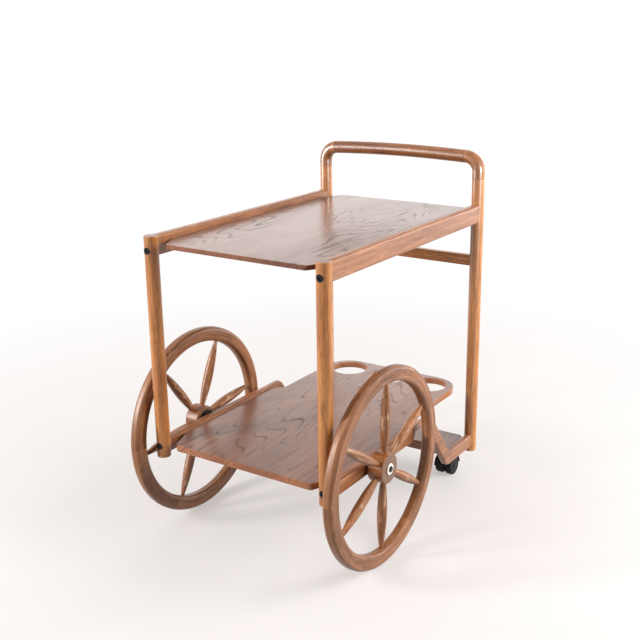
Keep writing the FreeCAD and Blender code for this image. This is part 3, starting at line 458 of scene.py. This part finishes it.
def seen_rays(tree):
    """One for rays that show the studio: straight to the camera, mirrored, or through glass."""
    path = tree.nodes.new("ShaderNodeLightPath")
    shown = path.outputs["Is Camera Ray"]
    for ray in ("Is Glossy Ray", "Is Transmission Ray"):
        either = tree.nodes.new("ShaderNodeMath")
        either.operation = "MAXIMUM"
        tree.links.new(shown, either.inputs[0])
        tree.links.new(path.outputs[ray], either.inputs[1])
        shown = either.outputs[0]
    return shown


def studio_floor():
    """Wide pale floor, very slightly warm, with a faint mottle, that fades into the white backdrop."""
    bpy.ops.mesh.primitive_plane_add(size=FLOOR_SIZE)
    floor = bpy.context.active_object
    floor.name = "studio_floor"
    net = Net("studio_floor")
    place = net.object_place()
    tone = net.ramp(net.noise(place, scale=1.4, detail=3.0), NOISE_SPAN, FLOOR_TONES)
    away = net.add("ShaderNodeVectorMath", operation="LENGTH")
    net.put(place, away.inputs[0])
    fade = net.remap(away.outputs["Value"], FLOOR_FADE)
    net.surface({
        "Base Color": net.mix(fade, tone, BLACK),
        "Roughness": 0.6,
        "Specular IOR Level": 0.1,
        "Emission Color": net.mix(fade, FLOOR_GLOW, WHITE),
        "Emission Strength": seen_rays(net.tree),
    })
    floor.data.materials.append(net.material)


def background(tree, colour):
    node = tree.nodes.new("ShaderNodeBackground")
    node.inputs["Color"].default_value = (*colour, 1.0)
    return node


def light_level(tree):
    """Strength of the studio's light by direction, from its dim side to its bright one."""
    way = tree.nodes.new("ShaderNodeTexCoord")
    turned = tree.nodes.new("ShaderNodeVectorMath")
    turned.operation = "DOT_PRODUCT"
    turned.inputs[1].default_value = BRIGHT_WAY
    tree.links.new(way.outputs["Generated"], turned.inputs[0])
    level = tree.nodes.new("ShaderNodeMapRange")
    level.inputs["From Min"].default_value = -1.0
    level.inputs["From Max"].default_value = 1.0
    level.inputs["To Min"].default_value = DIM_LEVEL
    level.inputs["To Max"].default_value = BRIGHT_LEVEL
    tree.links.new(turned.outputs["Value"], level.inputs["Value"])
    return level.outputs[0]


def studio_world():
    """White backdrop as seen; as a light, bright behind and above the cart and dim in front of it."""
    world = bpy.data.worlds.new("studio")
    bpy.context.scene.world = world
    world.use_nodes = True
    tree = world.node_tree
    tree.nodes.clear()
    seen = background(tree, WHITE)
    lit = background(tree, LIGHT_TINT)
    tree.links.new(light_level(tree), lit.inputs["Strength"])
    choose = tree.nodes.new("ShaderNodeMixShader")
    tree.links.new(seen_rays(tree), choose.inputs[0])
    tree.links.new(lit.outputs[0], choose.inputs[1])
    tree.links.new(seen.outputs[0], choose.inputs[2])
    output = tree.nodes.new("ShaderNodeOutputWorld")
    tree.links.new(choose.outputs[0], output.inputs["Surface"])


def softbox(name, place, target, size, power, mirrored=True):
    """Rectangular lamp; one that is not mirrored lights the object without showing in its gloss."""
    lamp = bpy.data.lights.new(name, "AREA")
    lamp.shape = "RECTANGLE"
    lamp.size = size[0]
    lamp.size_y = size[1]
    lamp.energy = power
    holder = bpy.data.objects.new(name, lamp)
    bpy.context.scene.collection.objects.link(holder)
    holder.location = place
    holder.rotation_euler = (Vector(target) - Vector(place)).to_track_quat("-Z", "Y").to_euler()
    holder.visible_glossy = mirrored
    return holder


def gleam(name, place, target, size, power, receivers):
    """Lamp that shows only in the gloss of the named pieces."""
    holder = softbox(name, place, target, size, power)
    holder.visible_diffuse = False
    group = bpy.data.collections.new(name)
    for piece in receivers:
        group.objects.link(nodes[piece])
    holder.light_linking.receiver_collection = group


def studio_lights():
    """Soft lamps; the key and the two gleams show as stripes on the round pieces alone."""
    softbox("back", *BACK_LAMP)
    softbox("low_back", *LOW_BACK_LAMP)
    softbox("side", *SIDE_LAMP, mirrored=False)
    softbox("key", *KEY_LAMP, mirrored=False)
    legs = pair("rear_post", "handle_corner")
    turned = pair("front_post", "wheel_rim", "wheel_spokes", "wheel_hub") + ["handle_bar"]
    gleam("key_gleam", *KEY_LAMP, legs + turned)
    gleam("leg_gleam_left", *LEFT_GLEAM, legs)
    gleam("leg_gleam_right", *RIGHT_GLEAM, legs)


def camera():
    """Camera at the photograph's viewing place."""
    back = Vector((math.sin(CAMERA_AZIMUTH) * math.cos(CAMERA_ELEVATION),
                   -math.cos(CAMERA_AZIMUTH) * math.cos(CAMERA_ELEVATION),
                   math.sin(CAMERA_ELEVATION)))
    right = Vector((math.cos(CAMERA_AZIMUTH), math.sin(CAMERA_AZIMUTH), 0.0))
    up = back.cross(right)
    turned_right = right * math.cos(CAMERA_ROLL) + up * math.sin(CAMERA_ROLL)
    turned_up = up * math.cos(CAMERA_ROLL) - right * math.sin(CAMERA_ROLL)
    data = bpy.data.cameras.new("camera")
    data.sensor_width = CAMERA_SENSOR
    data.lens = CAMERA_LENS
    data.shift_x, data.shift_y = CAMERA_SHIFT
    holder = bpy.data.objects.new("camera", data)
    bpy.context.scene.collection.objects.link(holder)
    turn = Matrix((turned_right, turned_up, back)).transposed().to_4x4()
    holder.matrix_world = Matrix.Translation(CAMERA_PLACE) @ turn
    bpy.context.scene.camera = holder


dress_frame()
dress_wheels()
dress_boards()
dress_fittings()
studio_floor()
studio_world()
studio_lights()
camera()
bpy.context.scene.view_settings.view_transform = "Standard"
